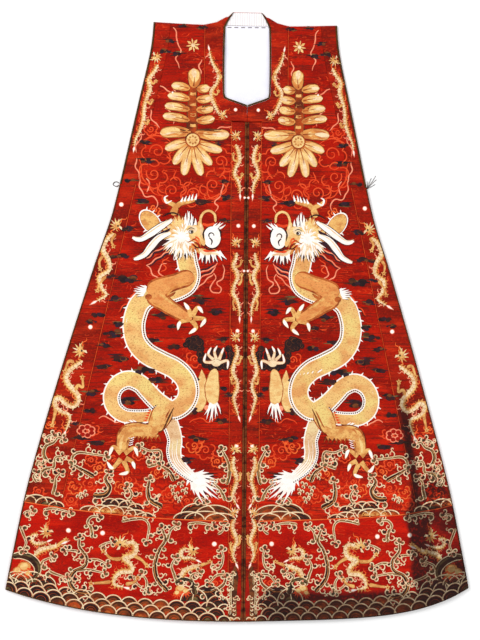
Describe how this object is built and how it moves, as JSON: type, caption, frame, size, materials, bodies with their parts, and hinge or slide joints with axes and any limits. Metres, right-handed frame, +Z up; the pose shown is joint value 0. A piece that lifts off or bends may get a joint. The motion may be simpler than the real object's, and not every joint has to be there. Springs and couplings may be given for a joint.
{
  "type": "long sleeveless vest",
  "caption": "Ankle-length sleeveless court vest of lined red silk tapestry, laid flat and closed, with a banded square neck, flared sides and a curved hem.",
  "frame": {"origin": "middle of the garment's outline on the surface that it lies on", "axes": "+X to the wearer's left, +Y from the hem to the collar, +Z up from the surface"},
  "size_m": [1.02, 1.3415, 0.0105],
  "materials": {
    "silk_ground": "satin",
    "silk_band": "satin",
    "lining_silk": "matte",
    "edge_binding": "matte",
    "seam_piping": "satin",
    "cord": "matte",
    "gold_thread": "satin",
    "coloured_silk": "satin"
  },
  "bodies": {
    "root": {"back": "silk_ground", "back_lining": "lining_silk", "collar": "silk_band", "collar_facing": "lining_silk", "front_left": "silk_ground", "front_right": "silk_ground", "neck_band_left": "silk_band", "neck_band_right": "silk_band", "front_band_left": "silk_band", "front_band_right": "silk_band", "armhole_band_left": "silk_band", "armhole_band_right": "silk_band", "side_band_left": "silk_band", "side_band_right": "silk_band", "hem_band_left": "silk_band", "hem_band_right": "silk_band", "neck_binding_left": "edge_binding", "neck_binding_right": "edge_binding", "front_binding_left": "edge_binding", "front_binding_right": "edge_binding", "armhole_binding_left": "edge_binding", "armhole_binding_right": "edge_binding", "neck_piping_left": "seam_piping", "neck_piping_right": "seam_piping", "front_piping_left": "seam_piping", "front_piping_right": "seam_piping", "side_piping_left": "seam_piping", "side_piping_right": "seam_piping", "hem_piping_left": "seam_piping", "hem_piping_right": "seam_piping", "underarm_loop": "cord", "underarm_tie": "cord"}
  },
  "joints": []
}
